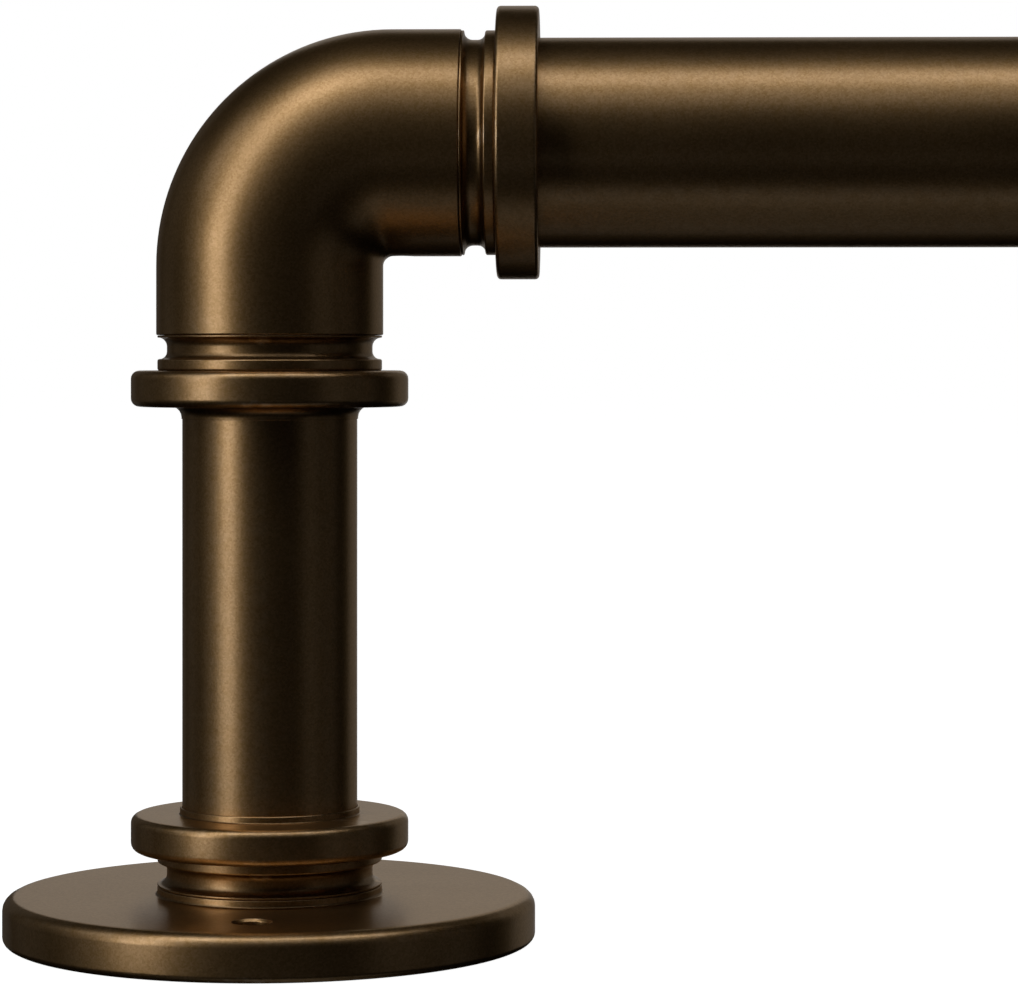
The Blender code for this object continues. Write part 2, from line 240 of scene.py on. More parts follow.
def turning_group():
    """Fillet an outline by its points' radius, turn it round Z and close its poles."""
    guide = 10 * MM
    tree, inside, outside = new_tree(
        "Turn round Z", "GeometryNodeTree", OUTLINE_SOCKETS, [("Shape", "NodeSocketGeometry")])
    fillet = node(tree, "GeometryNodeFilletCurve", {
        "Curve": inside.outputs["Outline"],
        "Count": inside.outputs["Fillet Steps"],
        "Radius": node(tree, "GeometryNodeInputRadius").outputs[0],
        "Limit Radius": True,
    }, mode="POLY")
    profile = node(tree, "GeometryNodeTransform", {
        "Geometry": fillet.outputs[0], "Translation": (-guide, 0.0, 0.0)})
    circle = node(tree, "GeometryNodeCurvePrimitiveCircle", {
        "Resolution": inside.outputs["Around"], "Radius": guide})
    swept = node(tree, "GeometryNodeCurveToMesh", {
        "Curve": circle.outputs["Curve"], "Profile Curve": profile.outputs[0]})
    upright = node(tree, "GeometryNodeTransform", {
        "Geometry": swept.outputs[0], "Rotation": (math.pi, 0.0, 0.0)})
    closed = node(tree, "GeometryNodeMergeByDistance", {
        "Geometry": upright.outputs[0], "Distance": MERGE_DISTANCE})
    smooth = node(tree, "GeometryNodeSetShadeSmooth", {"Geometry": closed.outputs[0]})
    return completed(tree, outside, Shape=smooth.outputs[0])


def bending_group():
    """Bend what stands along Z a quarter turn towards +X, with a straight limb at each end."""
    tree, inside, outside = new_tree(
        "Bend a quarter turn", "GeometryNodeTree",
        [("Shape", "NodeSocketGeometry", None), ("Limb", "NodeSocketFloat", 0.0),
         ("Bend Radius", "NodeSocketFloat", 0.01)],
        [("Shape", "NodeSocketGeometry")])
    calc = partial(maths, tree)
    bend = inside.outputs["Bend Radius"]
    limb = inside.outputs["Limb"]
    position = node(tree, "GeometryNodeInputPosition").outputs[0]
    place = node(tree, "ShaderNodeSeparateXYZ", {0: position}).outputs
    past_limb = calc("SUBTRACT", place["Z"], limb)
    angle = calc("MINIMUM", calc("MAXIMUM", calc("DIVIDE", past_limb, bend), 0.0), math.pi / 2)
    straight = calc("SUBTRACT", past_limb, calc("MULTIPLY", angle, bend))
    inward = calc("SUBTRACT", bend, place["X"])
    sine = calc("SINE", angle)
    cosine = calc("COSINE", angle)
    x = calc("ADD", calc("SUBTRACT", bend, calc("MULTIPLY", inward, cosine)),
             calc("MULTIPLY", straight, sine))
    z = calc("ADD", calc("MULTIPLY", inward, sine), calc("MULTIPLY", straight, cosine))
    point = node(tree, "ShaderNodeCombineXYZ", {
        "X": x, "Y": place["Y"], "Z": calc("ADD", z, limb)})
    moved = node(tree, "GeometryNodeSetPosition", {
        "Geometry": inside.outputs["Shape"], "Position": point.outputs[0]})
    return completed(tree, outside, Shape=moved.outputs[0])


def threading_group():
    """Press a helical V groove into what lies outside a core radius, between two heights."""
    tree, inside, outside = new_tree(
        "Cut a thread", "GeometryNodeTree",
        [("Shape", "NodeSocketGeometry", None), ("Pitch", "NodeSocketFloat", MM),
         ("Core Radius", "NodeSocketFloat", 0.0), ("From", "NodeSocketFloat", 0.0),
         ("To", "NodeSocketFloat", 1.0)],
        [("Shape", "NodeSocketGeometry")])
    calc = partial(maths, tree)
    position = node(tree, "GeometryNodeInputPosition").outputs[0]
    place = node(tree, "ShaderNodeSeparateXYZ", {0: position}).outputs
    pitch, start, end = (inside.outputs[name] for name in ("Pitch", "From", "To"))
    turn = calc("DIVIDE", calc("ARCTAN2", place["Y"], place["X"]), math.tau)
    phase = calc("FRACT", calc("SUBTRACT", calc("DIVIDE", place["Z"], pitch), turn))
    groove = calc("PINGPONG", phase, 0.5)
    radius = calc("SQRT", calc("ADD", calc("MULTIPLY", place["X"], place["X"]),
                               calc("MULTIPLY", place["Y"], place["Y"])))
    low = ranged(tree, place["Z"], start, calc("ADD", start, pitch))
    high = ranged(tree, place["Z"], end, calc("SUBTRACT", end, pitch))
    outer = calc("GREATER_THAN", radius, inside.outputs["Core Radius"])
    depth = calc("MULTIPLY", calc("MULTIPLY", low, high),
                 calc("MULTIPLY", outer, calc("MULTIPLY", groove, pitch)))
    scale = calc("DIVIDE", calc("MULTIPLY", depth, -1.0), calc("MAXIMUM", radius, 0.01 * MM))
    offset = node(tree, "ShaderNodeCombineXYZ", {
        "X": calc("MULTIPLY", place["X"], scale), "Y": calc("MULTIPLY", place["Y"], scale)})
    moved = node(tree, "GeometryNodeSetPosition", {
        "Geometry": inside.outputs["Shape"], "Offset": offset.outputs[0]})
    return completed(tree, outside, Shape=moved.outputs[0])


def shaping_tree(name, step=None):
    """A modifier's tree: turn the outline, then take one more step, then set the finish."""
    turning = bpy.data.node_groups.get("Turn round Z") or turning_group()
    extra = []
    if step:
        extra = [(item.name, "NodeSocketFloat", item.default_value)
                 for item in step.interface.items_tree
                 if item.in_out == "INPUT" and item.socket_type == "NodeSocketFloat"]
    tree, inside, outside = new_tree(
        name, "GeometryNodeTree",
        [*OUTLINE_SOCKETS, *extra, ("Finish", "NodeSocketMaterial", None)],
        [("Piece", "NodeSocketGeometry")])
    turned = node(tree, "GeometryNodeGroup", node_tree=turning)
    for socket, _, _ in OUTLINE_SOCKETS:
        tree.links.new(inside.outputs[socket], turned.inputs[socket])
    shape = turned.outputs["Shape"]
    if step:
        stepped = node(tree, "GeometryNodeGroup", node_tree=step)
        tree.links.new(shape, stepped.inputs["Shape"])
        for socket, _, _ in extra:
            tree.links.new(inside.outputs[socket], stepped.inputs[socket])
        shape = stepped.outputs["Shape"]
    real = node(tree, "GeometryNodeRealizeInstances", {"Geometry": shape})
    finished = node(tree, "GeometryNodeSetMaterial", {
        "Geometry": real.outputs[0], "Material": inside.outputs["Finish"]})
    return completed(tree, outside, Piece=finished.outputs[0])


def shaping(name):
    """The shaping tree of that name, made when it is first asked for."""
    steps = {"Bent pipe": bending_group, "Threaded piece": threading_group}
    step = steps.get(name)
    return bpy.data.node_groups.get(name) or shaping_tree(name, step and step())


# ---------------- mesh work

def new_object(name, data):
    """An object of that data, in the scene."""
    made = bpy.data.objects.new(name, data)
    bpy.context.collection.objects.link(made)
    return made


def plain_mesh(thing):
    """What an object's modifiers make of it, as a mesh without them."""
    seen = thing.evaluated_get(bpy.context.evaluated_depsgraph_get())
    return bpy.data.meshes.new_from_object(seen)


def shaped(outline, finish, place=Matrix(), tree="Turned piece", closed=True, around=None, **sizes):
    """A mesh from an outline of (radius, height[, fillet]) corners, run anticlockwise."""
    details = bpy.context.scene.rod_sizes
    curve = bpy.data.curves.new("outline", "CURVE")
    curve.dimensions = "3D"
    spline = curve.splines.new("POLY")
    spline.points.add(len(outline) - 1)
    for point, corner in zip(spline.points, outline):
        radius, height, fillet = (*corner, 0.0)[:3]
        point.co = (radius, height, 0.0, 1.0)
        point.radius = fillet
    spline.use_cyclic_u = closed
    source = new_object("outline", curve)
    modifier = source.modifiers.new(tree, "NODES")
    modifier.node_group = shaping(tree)
    given = {"Around": around or details.around, "Fillet Steps": details.fillet_steps,
             "Finish": finish, **titled(sizes)}
    for item in modifier.node_group.interface.items_tree:
        if item.in_out == "INPUT" and item.name in given:
            modifier[item.identifier] = given[item.name]
    mesh = plain_mesh(source)
    bpy.data.objects.remove(source)
    bpy.data.curves.remove(curve)
    mesh.transform(place)
    return mesh


def hexagon(across_flats, low, high, finish, place=Matrix()):
    """A hexagonal bar that cuts the socket for a hex key."""
    corner = across_flats / math.sqrt(3)
    return shaped([(0, low), (corner, low), (corner, high), (0, high)], finish, place,
                  closed=False, around=6)


def piece(name, mesh, node_name, cutters=()):
    """Cut a mesh, set its shading and put it in a CAD node's place and body."""
    blank = new_object(name + "_blank", mesh)
    tools = [new_object(name + "_cutter", cutter) for cutter in cutters]
    for tool in tools:
        boolean = blank.modifiers.new("Cut", "BOOLEAN")
        boolean.operation = "DIFFERENCE"
        boolean.solver = "EXACT"
        boolean.object = tool
    if tools:
        blank.data = plain_mesh(blank)
        blank.modifiers.clear()
    blank.data.shade_smooth()
    blank.data.set_sharp_from_angle(angle=SHARP_ANGLE)
    weighted = blank.modifiers.new("Weighted normals", "WEIGHTED_NORMAL")
    weighted.keep_sharp = True
    finished = new_object(name, plain_mesh(blank))
    finished.data.name = name
    for done in (blank, *tools):
        bpy.data.objects.remove(done)
    settle(finished, node_name)


def settle(finished, node_name):
    """Let a piece stand for a CAD node, hiding that node, and ride on its body."""
    bodies = frame["record"]["behaviour"]["bodies"]
    body = next(name for name, members in bodies.items() if node_name in members)
    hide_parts(node_name)
    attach(finished, body)


# ---------------- places

def both(kind):
    """For each bracket, its side and its node of that kind, with the node's two corners."""
    for side in SIDES:
        name = f"{side}_{kind}"
        yield side, name, *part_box(name)


def post_axis(side):
    """World X of a bracket's post."""
    low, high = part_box(side + "_post_tube")
    return (low.x + high.x) / 2


def stand(side, height=0.0):
    """From a bracket's own axes, raised to a height, to the world. +X points along the rod."""
    turn = 0.0 if side == "left" else math.pi
    return Matrix.Translation((post_axis(side), 0, height)) @ Matrix.Rotation(turn, 4, "Z")


def along_rod(side, reach=0.0):
    """From turning axes to the world, with the turning axis along the rod, away from the post."""
    swing = Matrix.Translation((reach, 0, rod_height())) @ Matrix.Rotation(math.pi / 2, 4, "Y")
    return stand(side) @ swing


def reach_of(side, node_name):
    """How far a node starts and ends from a bracket's post, along the rod."""
    low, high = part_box(node_name)
    ends = [abs(x - post_axis(side)) for x in (low.x, high.x)]
    return min(ends), max(ends)


def half_width(node_name):
    """Radius of a piece, taken across the rod, where no bracket's reach adds to it."""
    low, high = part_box(node_name)
    return (high.y - low.y) / 2


def elbow_radius():
    """Radius of the elbows, from which the collars take theirs."""
    return half_width("left_elbow")


def elbow_foot():
    """Height of the elbows' lower end."""
    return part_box("left_elbow")[0].z


def rod_height():
    """Height of the rod's axis."""
    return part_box("left_elbow")[1].z - elbow_radius()


def boss_top():
    """Height of the wall plates' boss, on which the base collars stand."""
    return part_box("left_wall_plate")[1].z


def screw_axis(side, height):
    """To the world from a set screw's own axis, raised to a height."""
    low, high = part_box(side + "_set_screw")
    return Matrix.Translation(((low.x + high.x) / 2, 0, height))


def clamp_bore(sizes):
    """Radius of the clearance hole for the clamp screw's shank."""
    return sizes.clamp_screw / 2 + 3 * sizes.seam


def sizes_and(finish):
    """The sizes, and the finish of that name."""
    return bpy.context.scene.rod_sizes, finish_named(finish)


# ---------------- collars

def collar_outline(sizes, ring_radius, ring_fillet, length_over_all, inside):
    """The outside that all collars share, from the face of the elbow or plate to the ring's end."""
    edge = sizes.break_edge
    lip = elbow_radius() - sizes.lip_setback
    neck = elbow_radius() - sizes.groove_depth
    rim = sizes.seam + sizes.groove_edge
    lip_end = sizes.groove_width + sizes.lip_width
    ring = lip_end + edge / 2
    return [
        (lip, sizes.seam, edge / 2),
        (lip, rim, edge / 2),
        (neck, rim, sizes.groove_fillet),
        (neck, sizes.groove_width, sizes.groove_fillet),
        (lip, sizes.groove_width, sizes.lip_edge),
        (lip, lip_end, sizes.lip_edge),
        (lip - edge, ring),
        (ring_radius, ring, ring_fillet),
        (ring_radius, length_over_all, ring_fillet),
    ] + inside


class CURTAINROD_OT_wall_plates(bpy.types.Operator):
    """Turn both wall plates and drill their screw holes"""

    bl_idname = "curtain_rod.wall_plates"
    bl_label = "Wall plates"

    def execute(self, context):
        sizes, bronze = sizes_and("Dark bronze")
        edge = sizes.break_edge
        boss = elbow_radius() - sizes.lip_setback
        top = boss_top()
        face = top - sizes.boss_height
        bore = clamp_bore(sizes)
        for side, name, _, _ in both("wall_plate"):
            rim = half_width(name)
            seat = half_width(side + "_clamp_screw") + sizes.seam
            outline = [
                (seat + edge, 0.0),
                (rim, 0.0, sizes.plate_back_fillet),
                (rim, face, sizes.plate_fillet),
                (boss, face, sizes.boss_fillet),
                (boss, top, edge),
                (bore, top, edge),
                (bore, seat - bore + edge),
            ]
            mesh = shaped(outline, bronze, stand(side), around=sizes.around + PLATE_TURNS)
            holes = [self.hole(sizes, bronze, side, turn * (rim + boss) / 2, face)
                     for turn in (-1, 1)]
            piece(side + "_round_wall_plate", mesh, name, holes)
        return {"FINISHED"}

    def hole(self, sizes, bronze, side, across, face):
        """A cutter for one bevelled screw hole, before or behind the post."""
        radius = sizes.wall_screw / 2
        bevel = sizes.wall_screw_bevel
        outline = [
            (0, -face),
            (radius, -face),
            (radius, face - bevel, bevel / 2),
            (radius + 2 * bevel, face + bevel),
            (0, face + bevel),
        ]
        place = stand(side) @ Matrix.Translation((0, across, 0))
        return shaped(outline, bronze, place, closed=False, around=HIDDEN_TURNS)


class CURTAINROD_OT_base_collars(bpy.types.Operator):
    """Turn the collars that the posts stand in"""

    bl_idname = "curtain_rod.base_collars"
    bl_label = "Base collars"

    def execute(self, context):
        sizes, bronze = sizes_and("Dark bronze")
        edge = sizes.break_edge
        for side, name, _, high in both("base_collar"):
            top = high.z - boss_top()
            bead_top = top + sizes.bead_height
            post = half_width(side + "_post_tube")
            socket = post + sizes.seam
            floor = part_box(side + "_post_tube")[0].z - boss_top() - sizes.seam
            outline = collar_outline(sizes, half_width(name), sizes.ring_fillet, top, [
                (post + sizes.bead, top, edge),
                (post + sizes.bead, bead_top, edge),
                (socket, bead_top, edge / 3),
                (socket, floor),
                (clamp_bore(sizes), floor, edge),
                (clamp_bore(sizes), sizes.seam, edge),
            ])
            piece(side + "_foot_collar", shaped(outline, bronze, stand(side, boss_top())), name)
        return {"FINISHED"}


class CURTAINROD_OT_posts(bpy.types.Operator):
    """Turn the post tubes"""

    bl_idname = "curtain_rod.posts"
    bl_label = "Posts"

    def execute(self, context):
        sizes, bronze = sizes_and("Dark bronze")
        for side, name, low, high in both("post_tube"):
            bore = half_width(side + "_post_foot_plug") + sizes.seam
            mesh = tube(sizes, half_width(name), bore, low.z, high.z, bronze, stand(side))
            piece(side + "_post_pipe", mesh, name)
        return {"FINISHED"}


def tube(sizes, outer, bore, low, high, finish, place, around=None):
    """A tube between two heights on its axis, with its cut ends broken."""
    edge = min(sizes.tube_edge, (outer - bore) / 3)
    outline = [(bore, low, edge), (outer, low, edge), (outer, high, edge), (bore, high, edge)]
    return shaped(outline, finish, place, around=around)


class CURTAINROD_OT_post_collars(bpy.types.Operator):
    """Turn the collars under the elbows"""

    bl_idname = "curtain_rod.post_collars"
    bl_label = "Post collars"

    def execute(self, context):
        sizes, bronze = sizes_and("Dark bronze")
        for side, name, low, _ in both("post_collar"):
            end = elbow_foot() - low.z
            ring_end = end - sizes.skirt_length
            post = half_width(side + "_post_tube")
            outline = collar_outline(sizes, half_width(name), sizes.ring_fillet, ring_end, [
                (post + sizes.skirt, ring_end, sizes.skirt_fillet),
                (post + sizes.skirt, end, sizes.break_edge),
                (post + sizes.seam, end, sizes.break_edge / 3),
                (post + sizes.seam, sizes.seam),
            ])
            upside_down = stand(side, elbow_foot()) @ Matrix.Rotation(math.pi, 4, "X")
            piece(side + "_upper_collar", shaped(outline, bronze, upside_down), name)
        return {"FINISHED"}


class CURTAINROD_OT_elbows(bpy.types.Operator):
    """Bend the elbows and drill their set screw holes"""

    bl_idname = "curtain_rod.elbows"
    bl_label = "Elbows"

    def execute(self, context):
        sizes, bronze = sizes_and("Dark bronze")
        for side, name, _, _ in both("elbow"):
            reach = reach_of(side, name)[1]
            mesh = shaped(self.outline(sizes, side, reach), bronze, stand(side, elbow_foot()),
                          tree="Bent pipe", limb=sizes.elbow_limb,
                          bend_radius=reach - sizes.elbow_limb)
            piece(side + "_pipe_elbow", mesh, name, [self.hole(sizes, bronze, side)])
        return {"FINISHED"}

    def outline(self, sizes, side, reach):
        """The elbow's wall as if it were straight, with stations for the bend."""
        outer = elbow_radius()
        bore = half_width(side + "_rod_spigot") + SPIGOT_PLAY
        bend = (reach - sizes.elbow_limb) * math.pi / 2
        whole = 2 * sizes.elbow_limb + bend
        edge = sizes.break_edge
        stations = [sizes.elbow_limb + bend * step / BEND_STEPS for step in range(BEND_STEPS + 1)]
        return ([(bore, 0.0, edge), (outer, 0.0, edge)] + [(outer, height) for height in stations]
                + [(outer, whole, edge), (bore, whole, edge)]
                + [(bore, height) for height in reversed(stations)])

    def hole(self, sizes, bronze, side):
        """A cutter for the set screw's hole, with its mouth broken."""
        radius = half_width(side + "_set_screw") + sizes.seam * 3
        depth = elbow_radius() / 2
        edge = sizes.break_edge
        outline = [(0, -2 * edge), (radius + edge, -2 * edge), (radius + edge, 0), (radius, edge),
                   (radius, depth), (0, depth)]
        place = screw_axis(side, rod_height() - elbow_radius())
        return shaped(outline, bronze, place, closed=False, around=HIDDEN_TURNS)


class CURTAINROD_OT_rod_collars(bpy.types.Operator):
    """Turn the collars that the rod enters"""

    bl_idname = "curtain_rod.rod_collars"
    bl_label = "Rod collars"

    def execute(self, context):
        sizes, bronze = sizes_and("Dark bronze")
        edge = sizes.break_edge
        for side, name, low, high in both("rod_collar"):
            elbow_reach = reach_of(side, side + "_elbow")[1]
            top = reach_of(side, name)[1] - elbow_reach
            socket = half_width("rod_outer_tube") + sizes.seam
            floor = reach_of("left", "rod_outer_tube")[0] - elbow_reach - sizes.seam
            bore = half_width(side + "_rod_spigot") + SPIGOT_PLAY
            outline = collar_outline(sizes, (high.z - low.z) / 2, sizes.rod_ring_fillet, top, [
                (socket, top, sizes.socket_edge),
                (socket, floor),
                (bore, floor, edge),
                (bore, sizes.seam, edge),
            ])
            piece(side + "_end_collar", shaped(outline, bronze, along_rod(side, elbow_reach)), name)
        return {"FINISHED"}


class CURTAINROD_OT_rod_tubes(bpy.types.Operator):
    """Turn the outer and the inner tube of the rod, and the ring that fits the inner one"""

    bl_idname = "curtain_rod.rod_tubes"
    bl_label = "Rod tubes"

    def execute(self, context):
        sizes, bronze = sizes_and("Dark bronze")
        outer = half_width("rod_outer_tube")
        inner = half_width("rod_inner_tube")
        for name, node_name, side, bore in (
                ("rod_outer_pipe", "rod_outer_tube", "left", outer - sizes.tube_wall),
                ("rod_inner_pipe", "rod_inner_tube", "right", inner - sizes.tube_wall),
                ("rod_reducer_ring", "reducer_ring", "right", inner + sizes.seam)):
            mesh = tube(sizes, half_width(node_name), bore, *reach_of(side, node_name), bronze,
                        along_rod(side))
            piece(name, mesh, node_name)
        return {"FINISHED"}


class CURTAINROD_OT_set_screws(bpy.types.Operator):
    """Thread the set screws and broach their hex sockets"""

    bl_idname = "curtain_rod.set_screws"
    bl_label = "Set screws"

    def execute(self, context):
        sizes, oxide = sizes_and("Black oxide")
        pitch = sizes.set_thread
        chamfer = pitch / 2
        for side, name, low, high in both("set_screw"):
            radius = half_width(name)
            depth = high.z - low.z
            shank = [(radius, height) for height in stations_along(chamfer, depth - chamfer, pitch)]
            outline = [(0, 0), (radius - chamfer, 0), *shank, (radius / 2, depth),
                       (radius / 3, depth - radius / 3), (0, depth - radius / 3)]
            place = screw_axis(side, low.z)
            mesh = shaped(outline, oxide, place, tree="Threaded piece", closed=False,
                          around=HIDDEN_TURNS, pitch=pitch, core_radius=radius * THREAD_CORE,
                          to=depth)
            socket = hexagon(radius, -depth, depth * 0.32, oxide, place)
            piece(side + "_grub_screw", mesh, name, [socket])
        return {"FINISHED"}


def stations_along(start, end, pitch):
    """Heights along a shank for the faces of its thread."""
    count = max(2, round((end - start) / pitch * THREAD_STEPS))
    return [start + (end - start) * index / count for index in range(count + 1)]


class CURTAINROD_OT_clamp_screws(bpy.types.Operator):
    """Thread the countersunk screws that clamp plate, collar and post"""

    bl_idname = "curtain_rod.clamp_screws"
    bl_label = "Clamp screws"

    def execute(self, context):
        sizes, zinc = sizes_and("Zinc plated steel")
        pitch, edge = sizes.clamp_thread, sizes.break_edge
        shank = sizes.clamp_screw / 2
        for side, name, low, high in both("clamp_screw"):
            head = half_width(name)
            tip = high.z - low.z
            start = head - shank + pitch
            turns = [(shank, height) for height in stations_along(start, tip - pitch / 2, pitch)]
            outline = [(0, 0), (head, 0, edge), (head, edge), (shank, head - shank, edge * 2),
                       *turns, (shank - pitch / 2, tip), (0, tip)]
            place = stand(side, low.z)
            mesh = shaped(outline, zinc, place, tree="Threaded piece", closed=False,
                          around=HIDDEN_TURNS, pitch=pitch, core_radius=shank * THREAD_CORE,
                          **{"from": start}, to=tip)
            socket = hexagon(shank * 4 / 3, -tip, head - shank - SOCKET_FLOOR, zinc, place)
            piece(side + "_countersunk_screw", mesh, name, [socket])
        return {"FINISHED"}


class CURTAINROD_OT_plugs(bpy.types.Operator):
    """Turn the steel plugs in the posts and the spigots that carry the rod"""

    bl_idname = "curtain_rod.plugs"
    bl_label = "Plugs and spigots"

    def execute(self, context):
        sizes, zinc = sizes_and("Zinc plated steel")
        chamfer = 2 * sizes.break_edge
        for side, name, low, high in both("post_foot_plug"):
            mesh = tube(sizes, half_width(name), clamp_bore(sizes), low.z, high.z, zinc,
                        stand(side), HIDDEN_TURNS)
            piece(side + "_tapped_plug", mesh, name)
            self.top_plug(sizes, side, zinc, chamfer)
            self.spigot(sizes, side, zinc, chamfer)
        return {"FINISHED"}

    def top_plug(self, sizes, side, zinc, chamfer):
        """The plug in the post's top, with a step that fits the elbow."""
        name = side + "_post_top_plug"
        low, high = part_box(name)
        step = elbow_foot()
        wide = half_width(name)
        narrow = half_width(side + "_post_foot_plug")
        bore = narrow - 2 * sizes.tube_wall
        outline = [(bore, low.z, chamfer), (narrow, low.z, chamfer), (narrow, step),
                   (wide, step, chamfer / 2), (wide, high.z, chamfer), (bore, high.z, chamfer)]
        piece(side + "_stepped_plug",
              shaped(outline, zinc, stand(side), around=HIDDEN_TURNS), name)

    def spigot(self, sizes, side, zinc, chamfer):
        """The tube from the elbow into the rod, with a hole in its wall for the set screw."""
        name = side + "_rod_spigot"
        start, end = reach_of(side, name)
        outer = half_width(name)
        bore = outer - 2 * sizes.tube_wall
        outline = [(bore, start, chamfer / 2), (outer, start, chamfer),
                   (outer, end, chamfer), (bore, end, chamfer / 2)]
        radius = half_width(side + "_set_screw") + sizes.seam
        below = screw_axis(side, rod_height() - 1.3 * outer)
        hole = shaped([(0, 0), (radius, 0), (radius, outer), (0, outer)], zinc, below,
                      closed=False, around=HIDDEN_TURNS)
        piece(side + "_steel_spigot",
              shaped(outline, zinc, along_rod(side), around=HIDDEN_TURNS * 2), name, [hole])


class CURTAINROD_OT_nylon_fittings(bpy.types.Operator):
    """Turn the sleeve on the left spigot and the glide in the inner tube"""

    bl_idname = "curtain_rod.nylon_fittings"
    bl_label = "Nylon fittings"

    def execute(self, context):
        sizes, nylon = sizes_and("Black nylon")
        start, end = reach_of("left", "spigot_sleeve")
        mesh = tube(sizes, half_width("spigot_sleeve"),
                    half_width("left_rod_spigot") + sizes.seam, start, end, nylon,
                    along_rod("left"), HIDDEN_TURNS * 2)
        piece("spigot_nylon_sleeve", mesh, "spigot_sleeve")
        start, end = reach_of("right", "inner_tube_glide")
        tube_end = reach_of("right", "rod_inner_tube")[1]
        wide = half_width("inner_tube_glide")
        body = half_width("rod_inner_tube") - sizes.tube_wall - sizes.seam
        edge = 2 * sizes.break_edge
        step = tube_end + sizes.seam
        outline = [
            (GLIDE_HOLE, start, edge),
            (body - edge, start, edge),
            (body, start + 2 * edge, edge),
            (body, step),
            (wide, step, edge),
            (wide, end, 2 * edge),
            (GLIDE_HOLE, end, edge),
        ]
        piece("nylon_glide", shaped(outline, nylon, along_rod("right"), around=HIDDEN_TURNS * 2),
              "inner_tube_glide")
        return {"FINISHED"}


# ---------------- finishes

def flake_group():
    """Metal flakes in lacquer: a mask for their colour, and a height that tilts them."""
    tree, inside, outside = new_tree(
        "Metal flakes", "ShaderNodeTree",
        [("Size", "NodeSocketFloat", MM), ("Cloud Size", "NodeSocketFloat", 10 * MM)],
        [("Flake", "NodeSocketFloat"), ("Cloud", "NodeSocketFloat"), ("Height", "NodeSocketFloat")])
    place = node(tree, "ShaderNodeTexCoord").outputs["Object"]
    cells = maths(tree, "DIVIDE", 1.0, inside.outputs["Size"])
    flakes = node(tree, "ShaderNodeTexVoronoi", {"Vector": place, "Scale": cells})
    split = node(tree, "ShaderNodeSeparateColor", {"Color": flakes.outputs["Color"]}).outputs
    clouds = node(tree, "ShaderNodeTexNoise", {
        "Vector": place, "Scale": maths(tree, "DIVIDE", 1.0, inside.outputs["Cloud Size"]),
        "Detail": 3.0})
    grain = node(tree, "ShaderNodeTexNoise", {
        "Vector": place, "Scale": maths(tree, "MULTIPLY", cells, 0.8), "Detail": 2.0})
    return completed(tree, outside, Flake=split["Red"], Cloud=clouds.outputs["Fac"],
                     Height=grain.outputs["Fac"])


def edge_wear_and_painted_light_group():
    """Masks of convex edges, for rubbed wear on steel and a painted highlight on bronze, and of
    recesses, for painted shade.
    """
    tree, inside, outside = new_tree(
        "Edge wear and painted light", "ShaderNodeTree",
        [("Start", "NodeSocketFloat", 0.53), ("End", "NodeSocketFloat", 0.6),
         ("Patch Size", "NodeSocketFloat", MM)],
        [("Mask", "NodeSocketFloat"), ("Recess", "NodeSocketFloat")])
    edges = node(tree, "ShaderNodeNewGeometry").outputs["Pointiness"]
    reached = ranged(tree, edges, inside.outputs["Start"], inside.outputs["End"])
    patches = node(tree, "ShaderNodeTexNoise", {
        "Vector": node(tree, "ShaderNodeTexCoord").outputs["Object"],
        "Scale": maths(tree, "DIVIDE", 1.0, inside.outputs["Patch Size"]), "Detail": 4.0})
    # Convex edges: rubbed wear on black oxide, a painted highlight on bronze
    mask = maths(tree, "MULTIPLY", reached, ranged(tree, patches.outputs["Fac"], 0.35, 0.65))
    # Recess: painted shade, rising where the surface is hollow (low pointiness)
    return completed(tree, outside, Mask=mask, Recess=ranged(tree, edges, 0.494, 0.465))


def group_node(tree, name, make, **values):
    """A group with its own values in a material, built when it is first used."""
    group = bpy.data.node_groups.get(name) or make()
    return node(tree, "ShaderNodeGroup", titled(values), node_tree=group)


def mixed(tree, mask, first, second):
    """A colour between two, by a mask."""
    made = node(tree, "ShaderNodeMix", data_type="RGBA")
    tree.links.new(mask, made.inputs["Factor"])
    for socket, value in ((made.inputs[6], first), (made.inputs[7], second)):
        if isinstance(value, bpy.types.NodeSocket):
            tree.links.new(value, socket)
        else:
            socket.default_value = (*value, 1.0)
    return made.outputs[2]


def bare_material(name, values):
    """A material with values set on its shader's own sockets, its tree and its shader."""
    material = bpy.data.materials.new(name)
    material.use_nodes = True
    shader = material.node_tree.nodes["Principled BSDF"]
    for socket, value in values.items():
        shader.inputs[socket].default_value = value
    return material, material.node_tree, shader


def grained(name, metallic, roughness, variation, flake_size, cloud_size, tilt, depth):
    """A material with flakes that tilt its surface and clouds that vary its roughness."""
    material, tree, shader = bare_material(name, {"Metallic": metallic, "Roughness": roughness})
    flakes = group_node(tree, "Metal flakes", flake_group, size=flake_size,
                        cloud_size=cloud_size).outputs
    cloudy = ranged(tree, flakes["Cloud"], low=roughness - variation, high=roughness + variation)
    tree.links.new(cloudy, shader.inputs["Roughness"])
    tilted = node(tree, "ShaderNodeBump", {
        "Strength": tilt, "Distance": depth, "Height": flakes["Height"]})
    tree.links.new(tilted.outputs[0], shader.inputs["Normal"])
    return material, tree, shader, flakes


